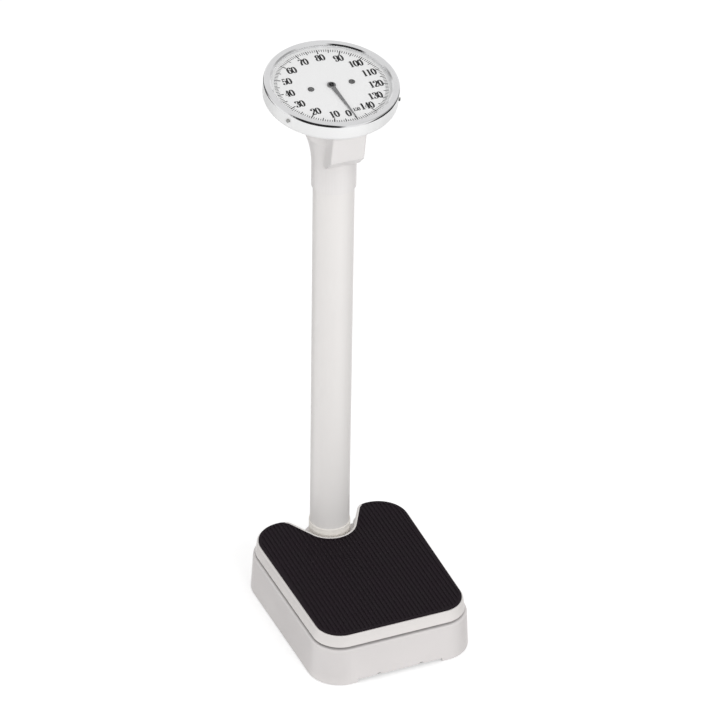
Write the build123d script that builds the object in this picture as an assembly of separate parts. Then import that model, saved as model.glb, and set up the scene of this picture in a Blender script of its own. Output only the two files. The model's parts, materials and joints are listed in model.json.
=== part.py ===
from build123d import *
import math
import os

# Column scale: platform base, round column, tilted dial head.
# The column axis is the working axis; move_to_frame then centres the whole on its footprint.
# X to the user's right, +Y from the user towards the column, +Z up. Millimetres.

# Platform outline, measured on the mat, from the column axis
mat_half_width = 131.4
side_taper = 1.3
mat_front = 290.0
mat_back = 30.0
front_corner_radius = 41.0
lobe_radius = 50.0
lobe_inner_radius = 20.0
notch_gap = 10.6
notch_flare = 29.0

# Mat
mat_thickness = 2.2
rib_pitch = 7.0
rib_groove_width = 3.4
rib_groove_depth = 1.0
mat_border = 5.0

# Platform cover
cover_top = 91.0
cover_sheet = 1.6
cover_rim = 2.5
skirt_height = 19.6
skirt_spread = 3.0
cover_edge_radius = 2.2

# Base casing
casing_drop = 24.0
casing_wall = 2.5
casing_shoulder = 9.0
casing_draft = 3.9
shoulder_radius = 3.5
casing_ground_gap = 1.0
wall_relief = 5.5
relief_inset = 57.4
dent_margin = 10.0
bulge_gap = 2.5
dent_fillet = 2.5
opening_inset = 2.0
opening_back = 26.0
opening_column_gap = 17.0
opening_corner_radius = 15.0
tab_slot_depth = 8.5
tab_spacing = 74.0
tab_width = 5.0
tab_height = 3.0

# Bottom pan and feet
pan_sheet = 1.5
pan_underside = 7.5
pan_lip = 8.0
pan_gap = 1.0
bead_width = 12.0
bead_depth = 3.5
bead_spacing = 54.0
bead_inset = 100.0
foot_radius = 10.0
foot_screw_radius = 2.0
foot_screw_head_radius = 4.0
foot_screw_head = 2.6
foot_recess = 4.6
foot_screw_length = 26.0
boss_radius = 4.6
front_boss_inset = 40.5
rear_boss_inset = 47.0
rear_boss_angle = 37.0

# Column, socket and bridge
column_radius = 33.0
column_wall = 1.5
column_drop = 114.8
bridge_plate = 4.5
bridge_seat_gap = 0.5
bridge_half_width = 62.0
bridge_leg = 4.0
bridge_front = 50.0
bridge_back = 11.0
bridge_tongue_margin = 2.5
bridge_foot = 12.0
bridge_foot_plate = 3.0
socket_height = 40.0
socket_web = 8.0
socket_wall = 6.0
socket_bolt_inset = 11.0
socket_bolt_turn = 25.0
socket_bolt_radius = 3.0
socket_bolt_head = 4.0
socket_bolt_head_radius = 5.0
socket_bolt_length = 11.0
rod_passage_radius = 8.5
collar_height = 36.0
collar_wall = 1.4

# Levers
load_travel = 3.0
front_fulcrum_inset = 20.0
rear_fulcrum_inset = 25.0
long_pin_drop = 11.0
link_length = 21.5
lever_bar = 5.0
long_bar_height = 15.0
short_bar_height = 11.0
long_arm_inset = 31.4
short_arm_inset = 39.4
long_straight = 52.0
short_straight = 54.0
long_nose_x = 10.5
short_nose_x = 7.0
long_nose_bend = 48.0
short_nose_bend = 112.0
arm_end = 8.0
lever_pin_radius = 3.0
lever_pin_overhang = 6.0
nose_pin_radius = 2.5
cross_bar_radius = 4.0
nose_block_length = 18.0
nose_block_gap = 6.0
link_thickness = 4.0
link_rim = 4.0
link_room = 1.0
bracket_sheet = 3.0
bracket_gap = 1.5
bracket_width = 16.0
bracket_height_over_pin = 7.0

# Platform rails and load posts
rail_width = 30.0
rail_height = 8.9
rail_sheet = 1.6
rail_front_inset = 32.0
rail_back_inset = 26.0
post_width = 15.0
post_sheet = 3.0
post_notch_gap = 0.3

# Draft rod, spring and zero screw
rod_radius = 2.5
hook_width = 15.0
hook_sheet = 5.0
hook_rise = 11.0
hook_foot = 6.0
fork_length = 26.0
fork_sheet = 3.0
fork_gap = 0.5
spring_mean_radius = 12.0
spring_wire = 1.5
spring_turns = 9
spring_pitch = 7.2
spring_drop = 18.0
spring_collar_height = 8.0
spring_collar_radius = 15.5
hanger_plate = 4.0
zero_knob_radius = 10.0
zero_knob_length = 12.0
zero_screw_radius = 2.5
zero_screw_drop = 101.8
zero_knob_flutes = 16

# Dial head
dial_height = 914.8
dial_offset = 13.9
dial_tilt = 10.4
drum_radius = 105.6
drum_depth = 22.9
drum_rim = 3.4
drum_sheet = 2.0
drum_edge_radius = 6.0
dial_gap = 0.8
dial_sheet = 1.0
dial_hole_radius = 4.0
dial_screw_spacing = 68.0
dial_screw_radius = 1.5
dial_screw_head_radius = 5.0
dial_screw_head = 1.0
movement_screw_head_radius = 2.8
movement_screw_head = 1.2
bezel_overhang = 0.4
bezel_crest = 7.2
bezel_round = 2.8
bezel_bevel = 2.4
bezel_lip = 0.35
bezel_skirt = 9.0
bezel_sheet = 1.3
glass_lap = 8.4
spacer_width = 7.0
spacer_margin = 0.4
glass_thickness = 1.5
glass_height = 3.7
bezel_screw_drop = 6.0
bezel_screw_radius = 1.6
bezel_screw_head_radius = 3.0
bezel_screw_head = 2.6
slot_half_width = 13.0
slot_half_length = 17.0

# Neck housing
neck_length = 167.2
neck_wall = 2.4
neck_flare_start_drop = 129.8
neck_flare_top_drop = 73.8
neck_swell = 13.0
neck_shell = 2.5
neck_box_half_width = 28.0
neck_box_setback = 19.6
neck_box_drop = 96.3
neck_box_edge_radius = 3.0
neck_corbel_drop = 20.0
neck_corbel_back = 21.0
neck_boss_radius = 6.0
neck_boss_length = 15.0
neck_post_radius = 5.0
neck_post_length = 14.0
neck_screw_drop = 148.8
neck_screw_radius = 2.0
neck_screw_head_radius = 4.0
neck_screw_head = 2.2
drum_screw_radius = 1.8
drum_screw_head_radius = 3.5
drum_screw_head = 2.0
drum_screw_inset = 5.5
drum_screw_length = 10.0

# Movement
pinion_teeth = 12
gear_module = 0.5
tooth_share = 0.86
tooth_root_share = 1.45
tooth_tip_share = 0.45
pinion_width = 6.0
arbor_radius = 1.25
movement_sheet = 1.5
movement_half_length = 42.0
movement_back = 13.0
movement_front = 36.0
pillar_radius = 4.0
top_plate_drop = 6.0
top_plate_half_width = 8.0
rack_thickness = 4.0
rack_back = 4.6
rack_tail = 6.0
rack_nose = 4.0
rack_pin_overhang = 1.6
rack_side_gap = 0.6
rack_pin_radius = 1.5
rack_level = 10.4
guide_near = 14.0
guide_far = 32.0
guide_sheet = 2.6
guide_room = 0.4
crank_arm = 32.0
crank_sheet = 3.0
crank_hub_radius = 4.6
crank_hub_overhang = 4.0
crank_pin_radius = 2.0
crank_slot_gap = 0.2
crank_head_radius = 4.2

# Pointer
pointer_margin = 15.2
pointer_zero_turn = 5.5
pointer_height = 1.4
pointer_sheet = 0.8
pointer_root_width = 7.0
pointer_tip_width = 1.0
pointer_point = 2.0
pointer_hub_radius = 6.8
cap_radius = 4.4
cap_height = 1.2

# Clearances
slip = 0.05
running = 0.08
seat = 0.3
sheet_gap = 0.15

# What follows from the sizes above: platform, casing and column
notch_radius = column_radius + notch_gap
relief_half_front = mat_half_width - relief_inset
casing_height = cover_top - casing_drop
casing_foot = casing_shoulder + casing_draft
bulge_margin = column_radius + bulge_gap
opening_column_radius = column_radius + opening_column_gap
bead_length = mat_front - bead_inset
cover_underside = cover_top - cover_sheet
skirt_bottom = cover_top - skirt_height
pan_top = pan_underside + pan_sheet
deck_underside = casing_height - casing_wall
bridge_top = deck_underside - bridge_seat_gap
bridge_tongue = column_radius + bridge_tongue_margin
socket_bolt_circle = column_radius - socket_bolt_inset
column_bottom = bridge_top
column_top = dial_height - column_drop

# Neck, measured down from the dial's middle
neck_bottom = dial_height - neck_length
neck_flare_start = dial_height - neck_flare_start_drop
neck_flare_top = dial_height - neck_flare_top_drop
neck_top_radius = column_radius + neck_swell
neck_box_reach = drum_radius - neck_box_setback
neck_box_bottom = dial_height - neck_box_drop
neck_screw_height = dial_height - neck_screw_drop
zero_screw_height = dial_height - zero_screw_drop
drum_screw_circle = neck_top_radius - drum_screw_inset

# Rings of the dial head, each inside the last
glass_radius = drum_radius - drum_sheet - bezel_sheet - 2 * sheet_gap
bezel_radius = drum_radius + bezel_overhang
bezel_opening = glass_radius - glass_lap
dial_radius = glass_radius - dial_gap
pointer_length = dial_radius - pointer_margin

# Levers: one turn of the pointer for the platform's whole travel
front_fulcrum = mat_front - front_fulcrum_inset
rear_fulcrum = mat_back - rear_fulcrum_inset
long_pin_height = bridge_top - bridge_plate - long_pin_drop
short_pin_height = long_pin_height - link_length
long_arm_x = mat_half_width - long_arm_inset
short_arm_x = mat_half_width - short_arm_inset
rail_top = cover_underside
rail_front = mat_front - rail_front_inset
rail_back = mat_back - rail_back_inset
link_y = -(front_fulcrum - rear_fulcrum) / 2
pitch_radius = gear_module * pinion_teeth / 2
tooth_depth = 1.2 * gear_module
tooth_height = 0.8 * gear_module
rack_root = -pitch_radius - tooth_depth
rod_travel = 2 * math.pi * pitch_radius
lever_angle = rod_travel / front_fulcrum
load_arm = load_travel / lever_angle
crank_half_swing = math.degrees(math.atan(rod_travel / 2 / crank_arm))

# The column stands so far back that the whole is centred on its footprint
tilt = math.radians(dial_tilt)
back_reach = (dial_offset + (drum_radius + bezel_screw_head) * math.cos(tilt)
              + (bezel_screw_drop + bezel_screw_head_radius) * math.sin(tilt))
column_y = (mat_front + casing_foot - back_reach) / 2

dial_plane = Plane(origin=(0, dial_offset, dial_height), x_dir=(1, 0, 0),
                   z_dir=(0, -math.sin(tilt), math.cos(tilt)))


def dial_point(v, h):
    """Y and Z of a point v along the dial's slope and h above the dial."""
    y = dial_offset + v * math.cos(tilt) - h * math.sin(tilt)
    z = dial_height + v * math.sin(tilt) + h * math.cos(tilt)
    return y, z


def crank_pivot_point():
    """Pivot of the bell crank: level with the middle of the rod's travel, below the rack."""
    h = -rack_level - crank_arm
    v = (-crank_arm - dial_offset + h * math.sin(tilt)) / math.cos(tilt)
    return v, h


crank_v, crank_h = crank_pivot_point()
crank_y, crank_z = dial_point(crank_v, crank_h)
fork_pin_height = crank_z + rod_travel / 2


def in_dial(shape):
    return dial_plane.location * shape


def at_height(face, z):
    return Pos(0, 0, z) * face


def cylinder_x(radius, x0, x1, y, z):
    """Round bar along X between x0 and x1."""
    bar = Cylinder(radius, x1 - x0, align=(Align.CENTER, Align.CENTER, Align.MIN))
    return Pos(x0, y, z) * Rot(0, 90, 0) * bar


def cylinder_z(radius, x, y, z0, z1):
    bar = Cylinder(radius, z1 - z0, align=(Align.CENTER, Align.CENTER, Align.MIN))
    return Pos(x, y, z0) * bar


def block(x0, x1, y0, y1, z0, z1):
    """Box between two corners."""
    size = Box(x1 - x0, y1 - y0, z1 - z0)
    return Pos((x0 + x1) / 2, (y0 + y1) / 2, (z0 + z1) / 2) * size


def side_x(grow, y):
    """Half width of the platform outline, grown outwards, at depth y."""
    lean = math.radians(side_taper)
    return mat_half_width + y * math.tan(lean) + grow / math.cos(lean)


def flare_x(reach, y):
    """Half width of a notch whose flared sides lie reach from the column axis, at depth y."""
    lean = math.radians(notch_flare)
    return (reach + y * math.sin(lean)) / math.cos(lean)


def trapezoid(grow):
    front = -mat_front - grow
    back = mat_back + grow
    return make_face(Polyline(
        (-side_x(grow, front), front), (side_x(grow, front), front),
        (side_x(grow, back), back), (-side_x(grow, back), back), close=True))


def notch(reach, low, high):
    """Flared mouth of the notch between two depths."""
    return make_face(Polyline(
        (-flare_x(reach, low), low), (flare_x(reach, low), low),
        (flare_x(reach, high), high), (-flare_x(reach, high), high), close=True))


def round_corners(face, front_radius, outer_radius, inner_radius):
    """Rounds the front corners and both corners of each rear lobe."""
    back = face.bounding_box().max.Y
    front = face.bounding_box().min.Y
    front_corners = [v for v in face.vertices() if abs(v.Y - front) < 0.01]
    face = fillet(front_corners, front_radius)
    crest = sorted([v for v in face.vertices() if abs(v.Y - back) < 0.01], key=lambda v: abs(v.X))
    face = fillet(crest[2:], outer_radius)
    crest = sorted([v for v in face.vertices() if abs(v.Y - back) < 0.01], key=lambda v: abs(v.X))
    return fillet(crest[:2], inner_radius)


def platform_outline(grow):
    """Mat outline grown outwards: tapered sides, round corners, flared notch at the back."""
    reach = notch_radius - grow
    tangent = -reach * math.sin(math.radians(notch_flare))
    face = trapezoid(grow) - Circle(reach) - notch(reach, tangent, mat_back + grow + 10)
    return round_corners(face.faces()[0], front_corner_radius + grow, lobe_radius + grow,
                         lobe_inner_radius + grow)


def casing_outline(grow):
    """Casing outline: the platform's, with a shallow recess between the lobes and a round
    bulge behind the column."""
    dent = dent_margin + grow
    reach = notch_radius - grow
    bulge = bulge_margin + grow
    face = trapezoid(grow) - notch(reach, dent, mat_back + grow + 10)
    face = round_corners(face.faces()[0], front_corner_radius + grow, lobe_radius + grow,
                         lobe_inner_radius + grow)
    face = (face + Circle(bulge)).faces()[0]
    inner = [v for v in face.vertices() if abs(v.Y - dent) < 0.01]
    return fillet(inner, dent_fillet)


def prism(lower, z0, upper, z1):
    """Solid between two outlines of the same form at two heights."""
    return loft([at_height(lower, z0), at_height(upper, z1)], ruled=True)


def centre_of_corner(radius, sign_y):
    """Centre of a front (-1) or rear (+1) corner of the mat outline."""
    y = -mat_front + radius if sign_y < 0 else mat_back - radius
    lean = math.radians(side_taper)
    return side_x(0, y) - radius / math.cos(lean), y


def boss_points():
    """Places of the four feet: under the casing's rim at each corner."""
    fx, fy = centre_of_corner(front_corner_radius, -1)
    rx, ry = centre_of_corner(lobe_radius, 1)
    step = front_boss_inset * math.sqrt(0.5)
    turn = math.radians(rear_boss_angle)
    front = (fx + step, fy - step)
    rear = (rx + rear_boss_inset * math.cos(turn), ry + rear_boss_inset * math.sin(turn))
    return [(s * x, y) for x, y in (front, rear) for s in (-1, 1)]


def make_mat():
    body = extrude(at_height(platform_outline(0), cover_top), mat_thickness)
    field = platform_outline(-mat_border)
    count = int(mat_half_width / rib_pitch)
    strips = Sketch() + [Pos(i * rib_pitch, (mat_back - mat_front) / 2)
                         * Rectangle(rib_groove_width, mat_front + mat_back)
                         for i in range(-count, count + 1)]
    grooves = extrude(at_height(strips & field, cover_top + mat_thickness), -rib_groove_depth)
    return body - grooves


def make_cover():
    low = cover_rim + skirt_spread
    outer = prism(platform_outline(low), skirt_bottom, platform_outline(cover_rim), cover_top)
    top_edges = outer.edges().filter_by_position(Axis.Z, cover_top - 0.01, cover_top + 0.01)
    outer = fillet(top_edges, cover_edge_radius)
    inner = prism(platform_outline(low - cover_sheet), skirt_bottom,
                  platform_outline(cover_rim - cover_sheet), cover_underside)
    return outer - inner


def casing_shell():
    """Drafted wall with a rounded shoulder, open below."""
    outer = prism(casing_outline(casing_foot), casing_ground_gap,
                  casing_outline(casing_shoulder), casing_height)
    top_edges = outer.edges().filter_by_position(Axis.Z, casing_height - 0.01, casing_height + 0.01)
    outer = fillet(top_edges, shoulder_radius)
    inner = prism(casing_outline(casing_foot - casing_wall), casing_ground_gap,
                  casing_outline(casing_shoulder - casing_wall), deck_underside)
    return outer - inner


def casing_opening():
    """Opening in the casing's top under the platform, clear of the deck round the column."""
    front = -mat_front + opening_inset
    back = -opening_back
    face = make_face(Polyline(
        (-side_x(-opening_inset, front), front), (side_x(-opening_inset, front), front),
        (side_x(-opening_inset, back), back), (-side_x(-opening_inset, back), back), close=True))
    corners = [v for v in face.vertices() if abs(v.Y - front) < 0.01]
    face = fillet(corners, front_corner_radius - opening_inset)
    corners = [v for v in face.vertices() if abs(v.Y - back) < 0.01]
    return fillet(corners, opening_corner_radius) - Circle(opening_column_radius)


def casing_cuts():
    """Opening under the platform, column hole, raised lower edge and tab slots at the front."""
    cuts = [extrude(at_height(casing_opening(), deck_underside - 1), casing_wall + 2)]
    cuts.append(cylinder_z(column_radius + sheet_gap, 0, 0, deck_underside - 1, casing_height + 1))
    top = casing_ground_gap + wall_relief
    front = -mat_front - casing_foot - 1
    cuts.append(block(-relief_half_front, relief_half_front, front, front + tab_slot_depth, 0, top))
    for side in (-1, 1):
        x = side * tab_spacing / 2
        cuts.append(block(x - tab_width / 2 - seat, x + tab_width / 2 + seat,
                          front, front + tab_slot_depth, top - 1, top + tab_height))
    return cuts


def make_casing():
    body = casing_shell()
    for x, y in boss_points():
        body += cylinder_z(boss_radius, x, y, pan_top, deck_underside + 0.5)
    body -= casing_cuts()
    for x, y in boss_points():
        body -= cylinder_z(foot_screw_radius + slip, x, y, pan_top - 1, pan_top + foot_screw_length)
    return body


def make_pan():
    grow = casing_foot - casing_wall - pan_gap
    outer = extrude(at_height(casing_outline(grow), pan_underside), pan_sheet + pan_lip)
    inner = extrude(at_height(casing_outline(grow - pan_sheet), pan_top), pan_lip + 1)
    body = outer - inner
    middle = (mat_back - mat_front) / 2
    for i in (-1.5, -0.5, 0.5, 1.5):
        x = i * bead_spacing
        bead = Pos(x, middle, pan_underside) * SlotOverall(bead_length, bead_width, rotation=90)
        body += extrude(bead, -bead_depth)
    front = -mat_front - grow
    top = casing_ground_gap + wall_relief + tab_height - seat
    for side in (-1, 1):
        x = side * tab_spacing / 2
        body += block(x - tab_width / 2, x + tab_width / 2, front - casing_wall - pan_gap + 0.5,
                      front + pan_sheet, top - pan_sheet, top)
    for x, y in boss_points():
        body -= cylinder_z(foot_screw_radius + slip, x, y, 0, pan_top + 1)
    for x, y in bridge_bolt_points():
        body -= cylinder_z(socket_bolt_radius + sheet_gap, x, y, 0, pan_top + 1)
    return body


def make_feet():
    feet = []
    for x, y in boss_points():
        foot = cylinder_z(foot_radius, x, y, 0, pan_underside)
        foot = chamfer(foot.edges().filter_by_position(Axis.Z, -0.01, 0.01), 1.0)
        foot -= cylinder_z(foot_screw_head_radius + seat, x, y, 0, foot_recess)
        foot -= cylinder_z(foot_screw_radius + slip, x, y, 0, pan_underside + 1)
        feet.append(foot)
    return feet


def make_foot_screws():
    screws = []
    for x, y in boss_points():
        head = cylinder_z(foot_screw_head_radius, x, y, foot_recess - foot_screw_head, foot_recess)
        shank = cylinder_z(foot_screw_radius, x, y, foot_recess, pan_top + foot_screw_length - 2)
        screws.append(head + shank)
    return screws


def make_bridge():
    """Bent steel bridge that carries the column over the levers."""
    x = bridge_half_width
    low = bridge_top - bridge_plate
    body = block(-x, x, -bridge_front, bridge_back, low, bridge_top)
    body += cylinder_z(bridge_tongue, 0, 0, low, bridge_top)
    for s in (-1, 1):
        legs = sorted((s * x, s * (x - bridge_leg)))
        body += block(legs[0], legs[1], -bridge_front, bridge_back, pan_top, low)
        feet = sorted((s * x, s * (x + bridge_foot)))
        body += block(feet[0], feet[1], -bridge_front, bridge_back, pan_top, pan_top + bridge_foot_plate)
    body -= cylinder_z(rod_passage_radius, 0, 0, low - 1, bridge_top + 1)
    for bx, by in bolt_points():
        body -= cylinder_z(socket_bolt_radius + sheet_gap, bx, by, low - 1, bridge_top + 1)
    for bx, by in bridge_bolt_points():
        body -= cylinder_z(socket_bolt_radius + sheet_gap, bx, by, pan_top - 1, low)
    return body


def bolt_points():
    x = socket_bolt_circle * math.cos(math.radians(socket_bolt_turn))
    y = socket_bolt_circle * math.sin(math.radians(socket_bolt_turn))
    return [(sx * x, sy * y) for sx in (-1, 1) for sy in (-1, 1)]


def bridge_bolt_points():
    x = bridge_half_width + bridge_foot / 2
    return [(s * x, y) for s in (-1, 1) for y in (-bridge_front + 10, bridge_back - 10)]


def make_bridge_bolts():
    """Bolts from above through the bridge's feet, with their nuts under the pan."""
    bolts = []
    top = pan_top + bridge_foot_plate
    for x, y in bridge_bolt_points():
        head = extrude(Pos(x, y, top) * RegularPolygon(socket_bolt_head_radius, 6), socket_bolt_head)
        nut = extrude(Pos(x, y, pan_underside) * RegularPolygon(socket_bolt_head_radius, 6), -socket_bolt_head)
        shank = cylinder_z(socket_bolt_radius, x, y, pan_underside - socket_bolt_head, top)
        bolts.append(head + nut + shank)
    return bolts


def make_socket():
    """Plug inside the foot of the column, bolted to the bridge from below."""
    radius = column_radius - column_wall - sheet_gap
    body = cylinder_z(radius, 0, 0, bridge_top, bridge_top + socket_height)
    body = chamfer(body.edges().group_by(Axis.Z)[-1], 1.5)
    body -= cylinder_z(radius - socket_wall, 0, 0, bridge_top + socket_web, bridge_top + socket_height + 1)
    body -= cylinder_z(rod_passage_radius, 0, 0, bridge_top - 1, bridge_top + socket_height)
    for x, y in bolt_points():
        body -= cylinder_z(socket_bolt_radius + slip, x, y, bridge_top - 1, bridge_top + socket_web + 1)
    return body


def make_socket_bolts():
    low = bridge_top - bridge_plate
    bolts = []
    for x, y in bolt_points():
        head = extrude(Pos(x, y, low) * RegularPolygon(socket_bolt_head_radius, 6), -socket_bolt_head)
        shank = cylinder_z(socket_bolt_radius, x, y, low, low + socket_bolt_length)
        bolts.append(head + shank)
    return bolts


def make_column():
    body = cylinder_z(column_radius, 0, 0, column_bottom, column_top)
    body -= cylinder_z(column_radius - column_wall, 0, 0, column_bottom - 1, column_top + 1)
    for x, y, turn in neck_screw_places():
        hole = Cylinder(neck_screw_radius + slip, 8)
        body -= Pos(x, y, neck_screw_height) * Rot(0, 0, turn) * Rot(90, 0, 0) * hole
    return body


def make_collar():
    inner = column_radius + sheet_gap
    outer = inner + collar_wall
    body = cylinder_z(outer, 0, 0, casing_height, casing_height + collar_height)
    body = chamfer(body.edges().group_by(Axis.Z)[-1], collar_wall * 0.6)
    return body - cylinder_z(inner, 0, 0, casing_height - 1, casing_height + collar_height + 1)


def bar_along(points, height, z, ends):
    """Flat bar on edge along a path in plan, with holes for its cross pins."""
    body = extrude(at_height(trace(Polyline(*points), lever_bar), z - height / 2), height)
    for radius, y in ends:
        body -= cylinder_x(radius + slip, -2 * long_arm_x, 2 * long_arm_x, y, z)
    return body


def long_arm_points(side):
    straight = -front_fulcrum + long_straight
    return [(side * long_arm_x, -front_fulcrum - arm_end), (side * long_arm_x, straight),
            (side * long_nose_x, -long_nose_bend), (side * long_nose_x, arm_end - 1)]


def short_arm_points(side):
    straight = rear_fulcrum - short_straight
    return [(side * short_arm_x, rear_fulcrum + arm_end), (side * short_arm_x, straight),
            (side * short_nose_x, -short_nose_bend), (side * short_nose_x, link_y - arm_end + 2)]


def long_pin_lines():
    return [(lever_pin_radius, -front_fulcrum), (lever_pin_radius, -front_fulcrum + load_arm)]


def short_pin_lines():
    return [(lever_pin_radius, rear_fulcrum), (lever_pin_radius, rear_fulcrum - load_arm)]


def make_long_arm(side):
    pins = long_pin_lines() + [(nose_pin_radius, 0)]
    body = bar_along(long_arm_points(side), long_bar_height, long_pin_height, pins)
    return body - cylinder_x(cross_bar_radius + slip, -long_arm_x, long_arm_x, link_y, long_pin_height)


def make_short_arm(side):
    pins = short_pin_lines() + [(lever_pin_radius, link_y)]
    return bar_along(short_arm_points(side), short_bar_height, short_pin_height, pins)


def cross_bar_reach():
    """Half length of the round cross bar: through both oblique arms and just past them."""
    straight = -front_fulcrum + long_straight
    share = (link_y - straight) / (-long_nose_bend - straight)
    return long_arm_x + share * (long_nose_x - long_arm_x) + lever_bar


def make_cross_bar():
    reach = cross_bar_reach()
    return cylinder_x(cross_bar_radius, -reach, reach, link_y, long_pin_height)


def nose_block(nose_x, y0, y1, height, z):
    """Spacer between the two arms of a lever at its nose."""
    x = nose_x - lever_bar / 2
    return block(-x, x, y0, y1, z - height / 2, z + height / 2)


def make_long_nose():
    back = -hook_width / 2 - nose_block_gap
    return nose_block(long_nose_x, back - nose_block_length, back, long_bar_height, long_pin_height)


def make_short_nose():
    near = link_y + cross_bar_radius + link_room + link_rim + 3
    return nose_block(short_nose_x, near, near + nose_block_length / 2, short_bar_height, short_pin_height)


def side_pins(arm_x, lines, z):
    reach = lever_bar / 2 + lever_pin_overhang
    return [cylinder_x(radius, s * arm_x - reach, s * arm_x + reach, y, z)
            for radius, y in lines for s in (-1, 1)]


def make_long_pins():
    reach = long_nose_x + lever_bar / 2
    nose = cylinder_x(nose_pin_radius, -reach, reach, 0, long_pin_height)
    return side_pins(long_arm_x, long_pin_lines(), long_pin_height) + [nose]


def make_short_pins():
    reach = short_nose_x + lever_bar / 2
    nose = cylinder_x(lever_pin_radius, -reach, reach, link_y, short_pin_height)
    return side_pins(short_arm_x, short_pin_lines(), short_pin_height) + [nose]


def make_brackets(arm_x, y, z):
    """Pair of clevis brackets on the pan that hold the fulcrum pins of one lever."""
    brackets = []
    inner = lever_bar / 2 + bracket_gap
    for s in (-1, 1):
        x = s * arm_x
        half = bracket_width / 2
        body = block(x - inner - bracket_sheet, x + inner + bracket_sheet, y - half, y + half,
                     pan_top, pan_top + bracket_sheet)
        for c in (-1, 1):
            a, b = sorted((x + c * inner, x + c * (inner + bracket_sheet)))
            body += block(a, b, y - half, y + half, pan_top, z)
            body += cylinder_x(bracket_width / 2, a, b, y, z)
        body -= cylinder_x(lever_pin_radius + running, x - 20, x + 20, y, z)
        brackets.append(body)
    return brackets


def make_lever_link():
    """Closed link in which the cross bar and the short lever's nose pin hang."""
    top_room = cross_bar_radius + link_room
    low_room = lever_pin_radius + link_room
    top = long_pin_height + cross_bar_radius + seat - top_room
    low = short_pin_height - lever_pin_radius - seat + low_room
    half = link_thickness / 2
    body = None
    for grow, reach in ((link_rim, half), (0, half + 1)):
        shape = cylinder_x(top_room + grow, -reach, reach, link_y, top)
        shape += cylinder_x(low_room + grow, -reach, reach, link_y, low)
        flank = Polyline((-top_room - grow, top), (top_room + grow, top), (low_room + grow, low),
                         (-low_room - grow, low), close=True)
        slab = extrude(Plane(origin=(-reach, link_y, 0), x_dir=(0, 1, 0), z_dir=(1, 0, 0))
                       * make_face(flank), 2 * reach)
        shape += slab
        body = shape if body is None else body - shape
    return body


def make_rail(side):
    """Channel under the cover, open upwards against it."""
    x = side * (long_arm_x + short_arm_x) / 2
    half = rail_width / 2
    low = rail_top - rail_height
    body = block(x - half, x + half, -rail_front, -rail_back, low, rail_top)
    body = fillet(body.edges().filter_by(Axis.Z), 5)
    body -= block(x - half + rail_sheet, x + half - rail_sheet, -rail_front + rail_sheet,
                  -rail_back - rail_sheet, low + rail_sheet, rail_top + 1)
    return body


def make_posts(arm_x, y, z):
    """Pair of forked posts that bring the platform's load onto the load pins of one lever."""
    posts = []
    top = rail_top - rail_height
    inner = lever_bar / 2 + bracket_gap
    half = post_width / 2
    room = lever_pin_radius + post_notch_gap
    for s in (-1, 1):
        x = s * arm_x
        body = block(x - inner - post_sheet, x + inner + post_sheet, y - half, y + half, z - 4, top)
        body -= block(x - inner, x + inner, y - half - 1, y + half + 1, z - 5, top - post_sheet)
        body -= cylinder_x(room, x - 20, x + 20, y, z)
        body -= block(x - 20, x + 20, y - room, y + room, z - 5, z)
        posts.append(body)
    return posts


def make_draft_rod():
    """Rod up the column, with an eye for the lever's nose pin and a fork for the bell crank."""
    eye_room = nose_pin_radius + seat
    shift = front_fulcrum * (1 - math.cos(lever_angle))
    low = long_pin_height - nose_pin_radius - hook_foot
    half = hook_sheet / 2
    body = block(-half, half, -hook_width / 2, hook_width / 2, low, long_pin_height + hook_rise)
    body = fillet(body.edges().filter_by(Axis.X), 3)
    body -= cylinder_x(eye_room, -half - 1, half + 1, 0, long_pin_height)
    body -= cylinder_x(eye_room, -half - 1, half + 1, -shift, long_pin_height)
    body -= block(-half - 1, half + 1, -shift, 0, long_pin_height - eye_room, long_pin_height + eye_room)
    body += cylinder_z(rod_radius, 0, 0, long_pin_height + hook_rise, fork_pin_height - fork_length / 2)
    cheek = crank_sheet / 2 + fork_gap
    wide = cheek + fork_sheet
    fork_low = fork_pin_height - fork_length + 6
    fork = block(-wide, wide, -5, 5, fork_low, fork_pin_height + 5)
    fork -= block(-cheek, cheek, -6, 6, fork_low + 8, fork_pin_height + 6)
    fork -= cylinder_x(rack_pin_radius + slip, -wide - 1, wide + 1, 0, fork_pin_height)
    return body + fork


def make_fork_pin():
    wide = crank_sheet / 2 + fork_gap + fork_sheet
    return cylinder_x(rack_pin_radius, -wide, wide, 0, fork_pin_height)


def spring_top():
    return column_top - spring_drop


def spring_bottom():
    return spring_top() - spring_turns * spring_pitch


def make_spring():
    """Tension spring round the rod, from the hanger down to the collar on the rod."""
    path = Helix(spring_pitch, spring_turns * spring_pitch, spring_mean_radius)
    section = Plane(origin=path @ 0, z_dir=path % 0) * Circle(spring_wire)
    return Pos(0, 0, spring_bottom()) * sweep(section, path=path)


def make_spring_collar():
    """Collar pinned to the rod; the spring's last coil sits on it."""
    top = spring_bottom() - spring_wire - seat
    body = cylinder_z(spring_collar_radius, 0, 0, top - spring_collar_height, top)
    return body - cylinder_z(rod_radius + slip, 0, 0, top - spring_collar_height - 1, top + 1)


def make_hanger():
    """Spring hanger: a plate on the column's top edge, with a stem down to the first coil."""
    radius = column_radius
    body = cylinder_z(radius, 0, 0, column_top, column_top + hanger_plate)
    stem_low = spring_top() + spring_wire + seat
    body += cylinder_z(spring_mean_radius + 3, 0, 0, stem_low, column_top)
    body -= cylinder_z(rod_radius + 1.5, 0, 0, stem_low - 1, column_top + hanger_plate + 1)
    return body


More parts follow.
